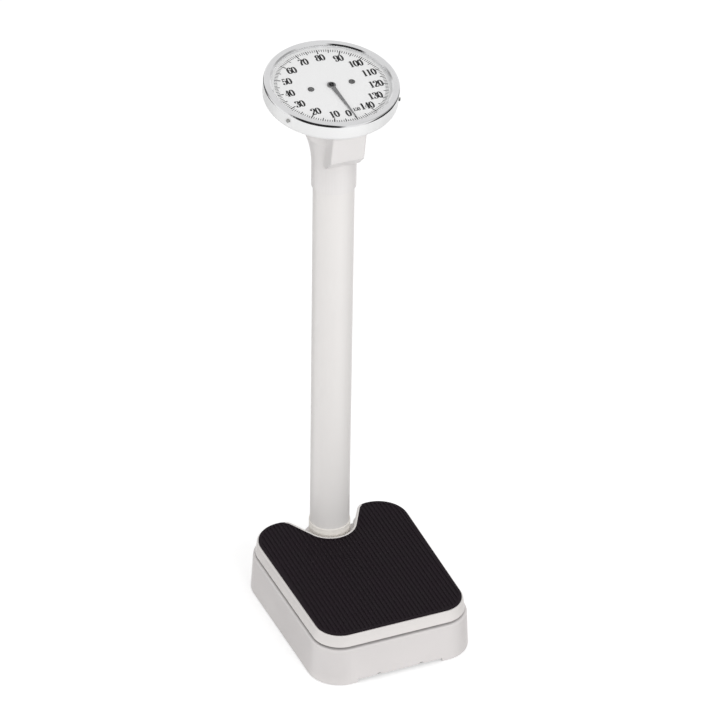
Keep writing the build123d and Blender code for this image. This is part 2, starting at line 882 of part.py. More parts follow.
def make_zero_screw():
    """Cone-ended screw that lifts the hanger plate, along Y at the back of the neck."""
    y_in = column_radius - 4
    tip = zero_screw_radius
    bar = Cylinder(zero_screw_radius, neck_radius(zero_screw_height + zero_knob_radius) + 4 - y_in,
                   align=(Align.CENTER, Align.CENTER, Align.MIN))
    cone = Cone(0.4, zero_screw_radius, tip, align=(Align.CENTER, Align.CENTER, Align.MAX))
    return Pos(0, y_in, zero_screw_height) * Rot(-90, 0, 0) * (bar + cone)


def make_zero_knob():
    """Fluted knob on the zero screw."""
    face = Circle(zero_knob_radius)
    groove = zero_knob_radius * math.pi / zero_knob_flutes / 2.2
    for i in range(zero_knob_flutes):
        turn = math.radians(360 * i / zero_knob_flutes)
        face -= Pos(zero_knob_radius * math.cos(turn), zero_knob_radius * math.sin(turn)) * Circle(groove)
    body = extrude(face, zero_knob_length)
    body -= Cylinder(zero_screw_radius + slip, 2 * 3.5)
    start = neck_radius(zero_screw_height + zero_knob_radius) + 1.0
    return Pos(0, start, zero_screw_height) * Rot(-90, 0, 0) * body


def neck_radius(z):
    """Outer radius of the neck's round part at height z."""
    rise = neck_top_radius - neck_sleeve_radius()
    run = neck_flare_top - neck_flare_start
    bend = (run * run + rise * rise) / (2 * rise)
    if z <= neck_flare_start:
        return neck_sleeve_radius()
    if z >= neck_flare_top:
        return neck_top_radius
    return neck_sleeve_radius() + bend - math.sqrt(bend * bend - (z - neck_flare_start) ** 2)


def neck_sleeve_radius():
    return column_radius + sheet_gap + neck_wall


def neck_body(inset, low):
    """Round part of the neck: sleeve and trumpet flare, revolved about the column axis."""
    top = dial_height
    rise = neck_top_radius - neck_sleeve_radius()
    run = neck_flare_top - neck_flare_start
    r0 = neck_sleeve_radius() - inset
    r1 = neck_top_radius - inset
    middle = neck_radius((neck_flare_start + neck_flare_top) / 2) - inset
    lines = Polyline((0, low), (r0, low), (r0, neck_flare_start))
    lines += ThreePointArc((r0, neck_flare_start),
                           (middle, (neck_flare_start + neck_flare_top) / 2), (r1, neck_flare_top))
    lines += Polyline((r1, neck_flare_top), (r1, top), (0, top), (0, low))
    return revolve(Plane.XZ * make_face(lines), Axis.Z)


def neck_front_y(z, inset):
    """Y of the neck's flat front at height z: it stands square to the dial."""
    drop = (z - dial_height + neck_box_reach * math.sin(tilt)) * math.tan(tilt)
    return dial_offset - neck_box_reach * math.cos(tilt) - drop + inset


def neck_box(inset):
    """Box-shaped front of the neck, square to the dial, on a sloping corbel."""
    z_top = dial_height
    z_low = neck_box_bottom + inset
    y_low = neck_front_y(z_low, inset)
    foot = z_low - neck_corbel_drop
    outline = Polyline((0, z_top), (neck_front_y(z_top, inset), z_top), (y_low, z_low),
                       (y_low + neck_corbel_back, foot), (0, foot), close=True)
    half = neck_box_half_width - inset
    plane = Plane(origin=(-half, 0, 0), x_dir=(0, 1, 0), z_dir=(1, 0, 0))
    body = extrude(plane * make_face(outline), 2 * half)
    if inset == 0:
        front = [e for e in body.edges() if abs(abs(e.center().X) - half) < 0.01
                 and e.center().Z > z_low + 1 and e.center().Y < y_low]
        body = fillet(front, neck_box_edge_radius)
    return body


def above_drum_floor():
    """Everything over the drum's underside, cut off the neck."""
    room = 2 * drum_radius
    return in_dial(Pos(0, 0, -drum_depth) * Box(room, room, room,
                                                align=(Align.CENTER, Align.CENTER, Align.MIN)))


def drum_screw_points():
    """Screws between drum and neck, in dial coordinates."""
    centre_v = (-dial_offset - drum_depth * math.sin(tilt)) / math.cos(tilt)
    turns = (60, 120, 225, 315)
    return [(drum_screw_circle * math.cos(math.radians(a)),
             centre_v + drum_screw_circle * math.sin(math.radians(a))) for a in turns]


def neck_screw_places():
    """Two screws at the back of the sleeve: X, Y and turn about Z."""
    places = []
    for turn in (-35, 35):
        a = math.radians(turn)
        places.append((-column_radius * math.sin(a), column_radius * math.cos(a), turn))
    return places


def crank_pin_reach():
    """Half length of the crank's pin: it ends inside the neck's wall."""
    return math.sqrt((neck_top_radius - neck_shell / 2) ** 2 - (crank_arm + crank_pin_radius) ** 2)


def make_neck():
    body = neck_body(0, neck_bottom) + neck_box(0)
    hollow = neck_body(neck_shell, column_top + hanger_plate - 2) + neck_box(neck_shell)
    hollow -= cylinder_z(drum_radius, 0, 0, neck_bottom - 1, column_top + hanger_plate + seat)
    hollow += cylinder_z(column_radius + sheet_gap, 0, 0, neck_bottom - 1, column_top + hanger_plate + seat)
    body -= hollow
    limits = neck_body(neck_shell / 2, column_top) + neck_box(neck_shell / 2)
    for s in (-1, 1):
        a, b = sorted((s * neck_top_radius, s * (crank_pin_reach() - neck_boss_length)))
        body += cylinder_x(neck_boss_radius, a, b, crank_y, crank_z) & limits
    for u, v in drum_screw_points():
        post = Cylinder(neck_post_radius, neck_post_length, align=(Align.CENTER, Align.CENTER, Align.MAX))
        body += in_dial(Pos(u, v, -drum_depth) * post) & limits
    body -= above_drum_floor()
    body -= cylinder_x(crank_pin_radius + slip, -crank_pin_reach() - slip, crank_pin_reach() + slip,
                       crank_y, crank_z)
    for u, v in drum_screw_points():
        hole = Cylinder(drum_screw_radius + slip, 2 * drum_screw_length)
        body -= in_dial(Pos(u, v, -drum_depth) * hole)
    for x, y, turn in neck_screw_places():
        hole = Cylinder(neck_screw_radius + slip, 12)
        body -= Pos(x, y, neck_screw_height) * Rot(0, 0, turn) * Rot(90, 0, 0) * hole
    passage = Cylinder(zero_screw_radius + running, 2 * neck_top_radius,
                       align=(Align.CENTER, Align.CENTER, Align.MIN))
    return body - Pos(0, 0, zero_screw_height) * Rot(-90, 0, 0) * passage


def make_neck_screws():
    screws = []
    for x, y, turn in neck_screw_places():
        out = neck_sleeve_radius() - column_radius
        head = Pos(0, 0, -out - neck_screw_head / 2) * Cylinder(neck_screw_head_radius, neck_screw_head)
        shank = Pos(0, 0, (3 - out) / 2) * Cylinder(neck_screw_radius, 3 + out)
        screws.append(Pos(x, y, neck_screw_height) * Rot(0, 0, turn) * Rot(90, 0, 0) * (head + shank))
    return screws


def make_drum():
    r = drum_radius
    floor = -drum_depth
    profile = Polyline((0, floor), (r, floor), (r, drum_rim), (r - drum_sheet, drum_rim),
                       (r - drum_sheet, floor + drum_sheet), (0, floor + drum_sheet), close=True)
    body = revolve(Plane.XZ * make_face(profile), Axis.Z)
    rim = [e for e in body.edges().filter_by(GeomType.CIRCLE)
           if abs(e.center().Z - floor) < 0.01 and abs(e.radius - r) < 0.01]
    body = fillet(rim, drum_edge_radius)
    body -= block(-slot_half_width, slot_half_width, crank_v - slot_half_length, crank_v + slot_half_length,
                  floor - 1, floor + drum_sheet + 1)
    for u, v in drum_screw_points():
        body -= cylinder_z(drum_screw_radius + slip, u, v, floor - 1, floor + drum_sheet + 1)
    for turn in bezel_screw_turns():
        hole = Cylinder(bezel_screw_radius + slip, 12)
        body -= Rot(0, 0, turn) * Pos(r, 0, -bezel_screw_drop) * Rot(0, 90, 0) * hole
    for u, v in movement_screw_points():
        body -= cylinder_z(dial_screw_radius + slip, u, v, floor - 1, floor + drum_sheet + 1)
    return in_dial(body)


def bezel_screw_turns():
    return (90, 210, 330)


def make_drum_screws():
    screws = []
    top = -drum_depth + drum_sheet
    for u, v in drum_screw_points():
        head = cylinder_z(drum_screw_head_radius, u, v, top, top + drum_screw_head)
        shank = cylinder_z(drum_screw_radius, u, v, -drum_depth - drum_screw_length + 1, top)
        screws.append(in_dial(head + shank))
    return screws


def make_bezel():
    """Pressed ring on the drum's rim: bevelled lip over the glass, flat top, round edge, skirt in the drum."""
    skirt = drum_radius - drum_sheet - sheet_gap
    lip = glass_height + glass_thickness + slip
    foot = drum_rim + sheet_gap
    low = -bezel_skirt
    shoulder = bezel_radius - bezel_round
    edge = bezel_crest - bezel_round
    turn_out = bezel_round * math.sin(math.radians(45))
    lines = Polyline((skirt - bezel_sheet, lip), (bezel_opening, lip), (bezel_opening, lip + bezel_lip),
                     (bezel_opening + bezel_bevel, bezel_crest), (shoulder, bezel_crest))
    lines += ThreePointArc((shoulder, bezel_crest), (shoulder + turn_out, edge + turn_out), (bezel_radius, edge))
    lines += Polyline((bezel_radius, edge), (bezel_radius, foot), (skirt, foot), (skirt, low),
                      (skirt - bezel_sheet, low), (skirt - bezel_sheet, lip))
    body = revolve(Plane.XZ * make_face(lines), Axis.Z)
    for turn in bezel_screw_turns():
        hole = Cylinder(bezel_screw_radius + slip, 12)
        body -= Rot(0, 0, turn) * Pos(drum_radius - 3, 0, -bezel_screw_drop) * Rot(0, 90, 0) * hole
    return in_dial(body)


def make_bezel_screws():
    screws = []
    for turn in bezel_screw_turns():
        head = Pos(drum_radius + bezel_screw_head / 2, 0, 0) * Rot(0, 90, 0) * Cylinder(
            bezel_screw_head_radius, bezel_screw_head)
        shank = Pos(drum_radius - 2, 0, 0) * Rot(0, 90, 0) * Cylinder(bezel_screw_radius, 4)
        screws.append(in_dial(Rot(0, 0, turn) * Pos(0, 0, -bezel_screw_drop) * (head + shank)))
    return screws


def make_glass():
    return in_dial(cylinder_z(glass_radius, 0, 0, glass_height, glass_height + glass_thickness))


def make_spacer():
    """Bright ring between dial and glass."""
    outer = dial_radius + spacer_margin
    ring = cylinder_z(outer, 0, 0, 0, glass_height)
    ring -= cylinder_z(outer - spacer_width, 0, 0, -1, glass_height + 1)
    return in_dial(ring)


def dial_screw_points():
    return [(s * dial_screw_spacing / 2, 0) for s in (-1, 1)]


def make_dial():
    body = cylinder_z(dial_radius, 0, 0, -dial_sheet, 0)
    body -= cylinder_z(dial_hole_radius, 0, 0, -2 * dial_sheet, dial_sheet)
    for u, v in dial_screw_points():
        body -= cylinder_z(dial_screw_radius + slip, u, v, -2 * dial_sheet, dial_sheet)
    return in_dial(body)


def make_dial_screws():
    screws = []
    for u, v in dial_screw_points():
        head = cylinder_z(dial_screw_head_radius, u, v, 0, dial_screw_head)
        shank = cylinder_z(dial_screw_radius, u, v, -dial_sheet - 4, 0)
        screws.append(in_dial(head + shank))
    return screws


def movement_floor():
    return -drum_depth + drum_sheet


def movement_screw_points():
    return [(u, v) for u in (-movement_half_length + 4, movement_half_length - 4)
            for v in (-movement_front + 5, movement_back - 4)]


def make_movement_plate():
    low = movement_floor()
    body = block(-movement_half_length, movement_half_length, -movement_front, movement_back,
                 low, low + movement_sheet)
    body = fillet(body.edges().filter_by(Axis.Z), 3)
    body -= cylinder_z(arbor_radius + running, 0, 0, low - 1, low + movement_sheet + 1)
    for u, v in movement_screw_points():
        body -= cylinder_z(dial_screw_radius + slip, u, v, low - 1, low + movement_sheet + 1)
    return in_dial(body)


def make_movement_screws():
    screws = []
    low = movement_floor()
    for u, v in movement_screw_points():
        top = low + movement_sheet
        head = cylinder_z(movement_screw_head_radius, u, v, top, top + movement_screw_head)
        shank = cylinder_z(dial_screw_radius, u, v, -drum_depth, top)
        screws.append(in_dial(head + shank))
    return screws


def make_pillars():
    """Two stepped pillars: the upper plate sits on the step, the dial on the end."""
    pillars = []
    low = movement_floor() + movement_sheet
    for u, v in dial_screw_points():
        body = cylinder_z(pillar_radius, u, v, low, -top_plate_drop)
        body += cylinder_z(pillar_radius - 1, u, v, -top_plate_drop, -dial_sheet)
        body -= cylinder_z(dial_screw_radius + slip, u, v, -dial_sheet - 5, 0)
        pillars.append(in_dial(body))
    return pillars


def make_top_plate():
    low = -top_plate_drop
    u = dial_screw_spacing / 2 + pillar_radius + 2
    body = block(-u, u, -top_plate_half_width, top_plate_half_width, low, low + movement_sheet)
    body = fillet(body.edges().filter_by(Axis.Z), 3)
    body -= cylinder_z(arbor_radius + running, 0, 0, low - 1, low + movement_sheet + 1)
    for x, y in dial_screw_points():
        body -= cylinder_z(pillar_radius - 1 + slip, x, y, low - 1, low + movement_sheet + 1)
    return in_dial(body)


def tooth_section(root, line, tip):
    """One straight-sided tooth in plan, pointing along +X, between three depths."""
    half = gear_module * math.pi / 4 * tooth_share
    return make_face(Polyline((root, -half * tooth_root_share), (line, -half),
                              (tip, -half * tooth_tip_share), (tip, half * tooth_tip_share),
                              (line, half), (root, half * tooth_root_share), close=True))


def make_pinion():
    """Pinion and arbor in one piece; a tooth space faces the rack at rest."""
    root = pitch_radius - tooth_depth
    wheel = Circle(root)
    tooth = tooth_section(root - 0.3, pitch_radius, pitch_radius + tooth_height)
    for i in range(pinion_teeth):
        wheel += Rot(0, 0, (i + 0.5) * 360 / pinion_teeth) * tooth
    low = -rack_level - pinion_width / 2
    body = extrude(at_height(wheel, low), pinion_width)
    top = pointer_height + pointer_sheet + 0.4
    body += cylinder_z(arbor_radius, 0, 0, movement_floor() + 0.2, top)
    return in_dial(body)


def rack_pin_v():
    return crank_v - rod_travel / 2


def make_rack():
    """Flat toothed bar left of the pinion, its teeth towards +X, with a cross pin at the front."""
    pitch = gear_module * math.pi
    root = rack_root
    front = rack_pin_v() - rack_nose
    face = make_face(Polyline((root - rack_back, front), (root, front), (root, rack_tail),
                              (root - rack_back, rack_tail), close=True))
    count = int((rod_travel + 2 * rack_tail) / pitch)
    last = int((rack_tail - pitch) / pitch)
    tooth = tooth_section(root - 0.2, -pitch_radius, -pitch_radius + tooth_height)
    for i in range(last - count, last + 1):
        face += Pos(0, i * pitch) * tooth
    low = -rack_level - rack_thickness / 2
    body = extrude(at_height(face, low), rack_thickness)
    back = root - rack_back
    pin = cylinder_x(rack_pin_radius, back - crank_sheet - rack_pin_overhang, back + 1, rack_pin_v(),
                     -rack_level)
    return in_dial(body + pin)


def make_rack_guide():
    """Open channel on the movement plate in which the rack slides."""
    back = rack_root - rack_back - sheet_gap
    front = -pitch_radius + gear_module + guide_room
    low = movement_floor() + movement_sheet
    channel = -rack_level - rack_thickness / 2 - sheet_gap
    top = -rack_level + rack_thickness / 2
    body = block(back - guide_sheet, front + guide_sheet, -guide_far, -guide_near, low, top)
    body -= block(back, front, -guide_far - 1, -guide_near + 1, channel, top + 1)
    return in_dial(body)


def crank_arm_shape(x0, x1, head):
    """Flat arm from the pivot up along +Z, ending in a slotted eye at the crank's radius."""
    body = block(x0, x1, -crank_hub_radius * 0.8, crank_hub_radius * 0.8, 0, crank_arm)
    body += cylinder_x(head, x0, x1, 0, crank_arm)
    pin = rack_pin_radius + crank_slot_gap
    far = crank_arm / math.cos(math.radians(crank_half_swing))
    body -= block(x0 - 1, x1 + 1, -pin, pin, crank_arm, far)
    body -= cylinder_x(pin, x0 - 1, x1 + 1, 0, crank_arm)
    body -= cylinder_x(pin, x0 - 1, x1 + 1, 0, far)
    return body


def make_bell_crank():
    """Crank in the neck: one arm to the rod, one up to the rack, on a common hub."""
    far = rack_root - rack_back - rack_side_gap - crank_sheet
    upper = crank_arm_shape(far, far + crank_sheet, crank_head_radius)
    lower = crank_arm_shape(-crank_sheet / 2, crank_sheet / 2, crank_head_radius)
    body = Rot(dial_tilt + crank_half_swing, 0, 0) * upper
    body += Rot(-90 + crank_half_swing, 0, 0) * lower
    near = crank_sheet / 2 + crank_hub_overhang
    body += cylinder_x(crank_hub_radius, far, near, 0, 0)
    body -= cylinder_x(crank_pin_radius + running, far - 1, near + 1, 0, 0)
    return Pos(0, crank_y, crank_z) * body


def make_crank_pin():
    return cylinder_x(crank_pin_radius, -crank_pin_reach(), crank_pin_reach(), crank_y, crank_z)


def make_pointer():
    """Tapered pointer on a round hub; its zero lies a little right of the side nearest the user."""
    half = pointer_root_width / 2
    tip = pointer_tip_width / 2
    shoulder = -pointer_length + pointer_point
    face = make_face(Polyline((-half, 0), (half, 0), (tip, shoulder), (0, -pointer_length),
                              (-tip, shoulder), close=True))
    face += Circle(pointer_hub_radius)
    body = Rot(0, 0, pointer_zero_turn) * extrude(at_height(face, pointer_height), pointer_sheet)
    body -= cylinder_z(arbor_radius + slip, 0, 0, 0, pointer_height + pointer_sheet + 1)
    return in_dial(body)


def make_pointer_cap():
    low = pointer_height + pointer_sheet
    body = cylinder_z(cap_radius, 0, 0, low, low + cap_height)
    body = fillet(body.edges().group_by(Axis.Z)[-1], 0.7)
    body -= cylinder_z(arbor_radius + slip, 0, 0, low - 1, low + 0.5)
    return in_dial(body)


def move_to_frame(shape):
    return Pos(0, column_y, 0) * shape


def all_nodes():
    """Every node's name with the solid or list of solids in it."""
    long_z = long_pin_height
    short_z = short_pin_height
    return {
        "platform_mat": make_mat(),
        "platform_cover": make_cover(),
        "base_casing": make_casing(),
        "bottom_pan": make_pan(),
        "rubber_feet": make_feet(),
        "foot_screws": make_foot_screws(),
        "column_bridge": make_bridge(),
        "bridge_bolts": make_bridge_bolts(),
        "column_socket": make_socket(),
        "socket_bolts": make_socket_bolts(),
        "column_tube": make_column(),
        "column_collar": make_collar(),
        "long_lever_arm_left": make_long_arm(-1),
        "long_lever_arm_right": make_long_arm(1),
        "long_lever_cross_bar": make_cross_bar(),
        "long_lever_nose": make_long_nose(),
        "long_lever_pins": make_long_pins(),
        "short_lever_arm_left": make_short_arm(-1),
        "short_lever_arm_right": make_short_arm(1),
        "short_lever_nose": make_short_nose(),
        "short_lever_pins": make_short_pins(),
        "front_fulcrum_brackets": make_brackets(long_arm_x, -front_fulcrum, long_z),
        "rear_fulcrum_brackets": make_brackets(short_arm_x, rear_fulcrum, short_z),
        "lever_link": make_lever_link(),
        "platform_rail_left": make_rail(-1),
        "platform_rail_right": make_rail(1),
        "front_load_posts": make_posts(long_arm_x, -front_fulcrum + load_arm, long_z),
        "rear_load_posts": make_posts(short_arm_x, rear_fulcrum - load_arm, short_z),
        "draft_rod": make_draft_rod(),
        "rod_fork_pin": make_fork_pin(),
        "main_spring": make_spring(),
        "spring_collar": make_spring_collar(),
        "spring_hanger": make_hanger(),
        "zero_screw": make_zero_screw(),
        "zero_knob": make_zero_knob(),
        "neck_housing": make_neck(),
        "neck_screws": make_neck_screws(),
        "dial_drum": make_drum(),
        "drum_screws": make_drum_screws(),
        "bezel_ring": make_bezel(),
        "bezel_screws": make_bezel_screws(),
        "dial_glass": make_glass(),
        "spacer_ring": make_spacer(),
        "dial_face": make_dial(),
        "dial_screws": make_dial_screws(),
        "movement_plate": make_movement_plate(),
        "movement_screws": make_movement_screws(),
        "movement_pillars": make_pillars(),
        "movement_top_plate": make_top_plate(),
        "pinion_arbor": make_pinion(),
        "rack": make_rack(),
        "rack_guide": make_rack_guide(),
        "bell_crank": make_bell_crank(),
        "crank_pin": make_crank_pin(),
        "pointer": make_pointer(),
        "pointer_cap": make_pointer_cap(),
    }


def write_nodes():
    os.makedirs("parts", exist_ok=True)
    for name, made in all_nodes().items():
        shape = Compound(children=list(made)) if isinstance(made, list) else made
        export_step(move_to_frame(shape), f"parts/{name}.step")


write_nodes()
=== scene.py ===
import bpy
import json
import math
from mathutils import Matrix, Vector


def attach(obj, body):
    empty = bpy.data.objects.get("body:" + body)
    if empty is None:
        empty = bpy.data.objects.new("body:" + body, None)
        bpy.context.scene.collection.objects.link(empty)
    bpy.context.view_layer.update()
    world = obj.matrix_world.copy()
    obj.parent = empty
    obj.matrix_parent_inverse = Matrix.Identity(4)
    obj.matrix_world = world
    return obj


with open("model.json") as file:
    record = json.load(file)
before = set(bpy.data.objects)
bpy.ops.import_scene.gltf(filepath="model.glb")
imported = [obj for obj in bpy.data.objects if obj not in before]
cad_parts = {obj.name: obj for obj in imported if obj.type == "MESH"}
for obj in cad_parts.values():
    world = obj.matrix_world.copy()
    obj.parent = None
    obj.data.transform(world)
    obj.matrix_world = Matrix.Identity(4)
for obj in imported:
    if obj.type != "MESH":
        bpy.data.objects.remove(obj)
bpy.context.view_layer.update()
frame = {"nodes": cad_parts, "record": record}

# Places shared with the solids, in metres
COLUMN_Y = 0.0904764
DIAL_HEIGHT = 0.9148
DIAL_OFFSET = 0.0139
DIAL_TILT = math.radians(10.4)
DIAL_CENTRE = Vector((0.0, COLUMN_Y + DIAL_OFFSET, DIAL_HEIGHT))
DIAL_FRAME = Matrix.Translation(DIAL_CENTRE) @ Matrix.Rotation(DIAL_TILT, 4, "X")
COLUMN_FRAME = Matrix.Translation((0.0, COLUMN_Y, 0.0))

# Dial print: places in divisions, clockwise from a zero that lies ZERO_TURN degrees to the right
# of the user's side; ticks as length and width
DIVISIONS = 150
MIDDLE_STEP = 5
FIGURE_STEP = 10
ZERO_TURN = 5.5
PRINT_LIFT = 0.00012
TICK_OUTER = 0.0888
LONG_TICK = (0.0100, 0.0018)
MIDDLE_TICK = (0.0080, 0.0014)
SHORT_TICK = (0.0052, 0.0010)
FIGURE_RADIUS = 0.0695
FIGURE_HEIGHT = 0.0150
ZERO_PLACE = 2.4
LAST_PLACE = 146.6
LAST_RADIUS = 0.066
LAST_HEIGHT = 0.0078

# Strokes of the figures, in figure heights; CONTRAST is the power by which a stroke thins out as
# it turns from upright to level, ADVANCE the step from one figure to the next
THICK = 0.21
THIN = 0.062
BAR = 0.13
CONTRAST = 2.2
ADVANCE = 0.49
TURNED_WIDTH = 0.56
CURVE_STEPS = 7
OVAL_SIDES = 36
SPOT_SIDES = 16

# Each figure stroke by stroke: a line or a curve through points, a line with a width of its own,
# an oval by its centre and half axes, or a round stroke end by its centre and radius. The 9 is
# the 6 turned round.
DIGITS = {
    "0": (("oval", (0.28, 0.5, 0.19, 0.475)),),
    "1": (("line", ((0.27, 0.0), (0.27, 0.98))),
          ("line", ((0.10, 0.025), (0.44, 0.025)), THIN),
          ("line", ((0.10, 0.87), (0.27, 0.955)), THIN)),
    "2": (("curve", ((0.10, 0.72), (0.12, 0.87), (0.26, 0.975), (0.41, 0.88), (0.43, 0.72),
                     (0.34, 0.50), (0.18, 0.26), (0.09, 0.07))),
          ("line", ((0.06, 0.065), (0.46, 0.065)), BAR),
          ("line", ((0.44, 0.06), (0.48, 0.27)), THIN),
          ("spot", (0.14, 0.73, 0.085))),
    "3": (("curve", ((0.09, 0.78), (0.14, 0.91), (0.26, 0.975), (0.39, 0.90), (0.41, 0.76),
                     (0.35, 0.60), (0.21, 0.53))),
          ("curve", ((0.21, 0.53), (0.36, 0.47), (0.44, 0.28), (0.38, 0.09), (0.25, 0.025),
                     (0.12, 0.08), (0.08, 0.21))),
          ("spot", (0.14, 0.76, 0.08)),
          ("spot", (0.13, 0.23, 0.085))),
    "4": (("line", ((0.36, 0.0), (0.36, 0.98))),
          ("line", ((0.37, 0.98), (0.03, 0.29)), THIN),
          ("line", ((0.02, 0.265), (0.53, 0.265)), THIN),
          ("line", ((0.20, 0.025), (0.52, 0.025)), THIN)),
    "5": (("line", ((0.12, 0.915), (0.45, 0.915)), BAR),
          ("line", ((0.135, 0.95), (0.115, 0.50)), THIN),
          ("curve", ((0.115, 0.50), (0.18, 0.59), (0.28, 0.62), (0.41, 0.52), (0.44, 0.32),
                     (0.38, 0.10), (0.25, 0.025), (0.12, 0.08), (0.08, 0.20))),
          ("spot", (0.13, 0.22, 0.085))),
    "6": (("curve", ((0.45, 0.80), (0.39, 0.93), (0.29, 0.975), (0.14, 0.82), (0.09, 0.5),
                     (0.13, 0.18), (0.28, 0.025))),
          ("oval", (0.28, 0.31, 0.18, 0.285)),
          ("spot", (0.41, 0.79, 0.08))),
    "7": (("line", ((0.06, 0.915), (0.48, 0.915)), BAR),
          ("line", ((0.08, 0.94), (0.055, 0.74)), THIN),
          ("curve", ((0.46, 0.90), (0.34, 0.62), (0.26, 0.36), (0.24, 0.0)))),
    "8": (("oval", (0.28, 0.755, 0.15, 0.22)),
          ("oval", (0.28, 0.27, 0.185, 0.245))),
}

# Ring round the pointer's arbor: section as radius and height over the dial
EYELET_SIDES = 48
EYELET_SECTION = ((0.0044, 0.0001), (0.0044, 0.0007), (0.0048, 0.0010), (0.0064, 0.0010),
                  (0.0068, 0.0007), (0.0070, 0.0001))

# Plan of the platform's notch round the column, as in the CAD
COVER_TOP = 0.0910
NOTCH_REACH = 0.0436
NOTCH_FLARE = math.radians(29)
LOBE_CORNER = 0.0200
REAR_EDGE = 0.0300

# Lip round the notch: section as distance from the mat's edge towards the column and height over
# the cover, steps along its plan, and the steps round the lobe over which it sinks to nothing
LIP_SECTION = ((-0.0018, 0.00225), (-0.0015, 0.0026), (-0.0006, 0.0028), (0.0008, 0.0027),
               (0.0018, 0.0021), (0.0024, 0.0011), (0.0025, 0.00005), (0.0001, 0.00005),
               (0.0001, 0.00225))
NOTCH_STEPS = 24
LOBE_STEPS = 16
LIP_STEPS = 14
LIP_END = 13.3
LIP_FADE = 7

# Room and lamps
WHITE = (1.0, 1.0, 1.0, 1.0)
PANEL_GREY = (0.8, 0.8, 0.8, 1.0)
FLOOR_GREY = (0.8, 0.8, 0.8, 1.0)
FLOOR_GLOW = 0.38
FLOOR_REACH = 30.0
SKY = 0.78
HORIZON = 1.15
ZENITH = 0.98
HORIZON_TOP = 0.1
ZENITH_FOOT = 0.75
# Dark gaps between the studio's white panels as bright metal shows them: middle and half width
# in degrees to the right of the front, heights of the direction between which the gap ends, depth
DARK_GAPS = (
    (-43, 42, (0.955, 0.99), 0.97),
    (82, 33, (0.10, 0.50), 0.96),
    (80, 18, (0.80, 0.95), 0.5),
    (-155, 14, (0.20, 0.45), 0.93),
    (-144, 8, (0.60, 0.85), 0.75),
)
GAP_SOFTNESS = 6
# Soft lamps: place, the point each is aimed at, size and power
LAMPS = {
    "key": ((0.8, -3.5, 2.4), (0, 0, 0.4), (2.4, 2.4), 48),
    "fill": ((-3.0, -1.3, 0.45), (0, 0, 0.1), (1.8, 0.7), 15),
}

# Camera as found from the photograph: angles in degrees, pixels of the photograph, metres, and
# the sensor in millimetres
AZIMUTH, ELEVATION, ROLL = (math.radians(a) for a in (-23.312, 33.449, 1.013))
FOCAL_PX = 3557.155
PICTURE_PX = 720
DISTANCE = 5.728853
SHIFT_PX = (-28.336, -11.787)
AIM = Vector((0.0, COLUMN_Y, 0.44))
SENSOR = 36.0
CLIP = (0.1, 100.0)

# Finishes: part of the noise that is used, how far mottling lightens for what it darkens, the
# pointiness at which a sharp edge starts to lighten and is fully lightened (partly wear, partly a
# painted highlight), and each noise's detail and roughness
NOISE_RANGE = (0.3, 0.7)
LIGHTER_SHARE = 0.5
EDGE_RANGE = (0.52, 0.6)
EDGE_LIGHT = 1.15
RELIEF = 0.6
BROAD_NOISE = (3.0, 0.55)
FINE_NOISE = (2.0, 0.5)
GLASS_MOTTLING = 14.0
GLASS_ROUGH = (0.0, 0.03)
GLASS_RELIEF = 0.1
GLASS_DEPTH = 0.00001
GLASS_INDEX = 1.15


def linear(r, g, b):
    """Scene colour from an 8-bit display colour."""
    out = []
    for c in (r, g, b):
        c = c / 255
        out.append(c / 12.92 if c <= 0.04045 else ((c + 0.055) / 1.055) ** 2.4)
    return (*out, 1.0)


def scaled(colour, k):
    return (colour[0] * k, colour[1] * k, colour[2] * k, 1.0)


def combine(nodes, links, operation, first, second):
    """Math node on two inputs, each a socket or a plain number."""
    node = nodes.new("ShaderNodeMath")
    node.operation = operation
    for socket, value in zip(node.inputs, (first, second)):
        if isinstance(value, float):
            socket.default_value = value
        else:
            links.new(value, socket)
    return node.outputs["Value"]


def mixed(nodes, links, factor, first, second):
    """Mix of two shaders."""
    node = nodes.new("ShaderNodeMixShader")
    links.new(factor, node.inputs["Fac"])
    links.new(first, node.inputs[1])
    links.new(second, node.inputs[2])
    return node.outputs["Shader"]


def noise(nodes, links, coords, scale, kind, stretch=None):
    tex = nodes.new("ShaderNodeTexNoise")
    tex.inputs["Scale"].default_value = scale
    tex.inputs["Detail"].default_value, tex.inputs["Roughness"].default_value = kind
    source = coords
    if stretch:
        mapping = nodes.new("ShaderNodeMapping")
        mapping.inputs["Scale"].default_value = stretch
        links.new(coords, mapping.inputs["Vector"])
        source = mapping.outputs["Vector"]
    links.new(source, tex.inputs["Vector"])
    return tex.outputs["Fac"]


def spread(nodes, links, value, low, high, between=NOISE_RANGE):
    """Value that runs from low to high while the given one crosses a range."""
    node = nodes.new("ShaderNodeMapRange")
    node.inputs["From Min"].default_value = between[0]
    node.inputs["From Max"].default_value = between[1]
    node.inputs["To Min"].default_value = low
    node.inputs["To Max"].default_value = high
    links.new(value, node.inputs["Value"])
    return node.outputs["Result"]


def shade(nodes, links, fac, dark, light):
    """Colour that runs from dark to light with the noise."""
    ramp = nodes.new("ShaderNodeValToRGB")
    for element, position, colour in zip(ramp.color_ramp.elements, NOISE_RANGE, (dark, light)):
        element.position = position
        element.color = colour
    links.new(fac, ramp.inputs["Fac"])
    return ramp.outputs["Color"]


def relief(nodes, links, shader, height, strength, depth):
    """Fine unevenness of a surface."""
    bump = nodes.new("ShaderNodeBump")
    bump.inputs["Strength"].default_value = strength
    bump.inputs["Distance"].default_value = depth
    links.new(height, bump.inputs["Height"])
    links.new(bump.outputs["Normal"], shader.inputs["Normal"])


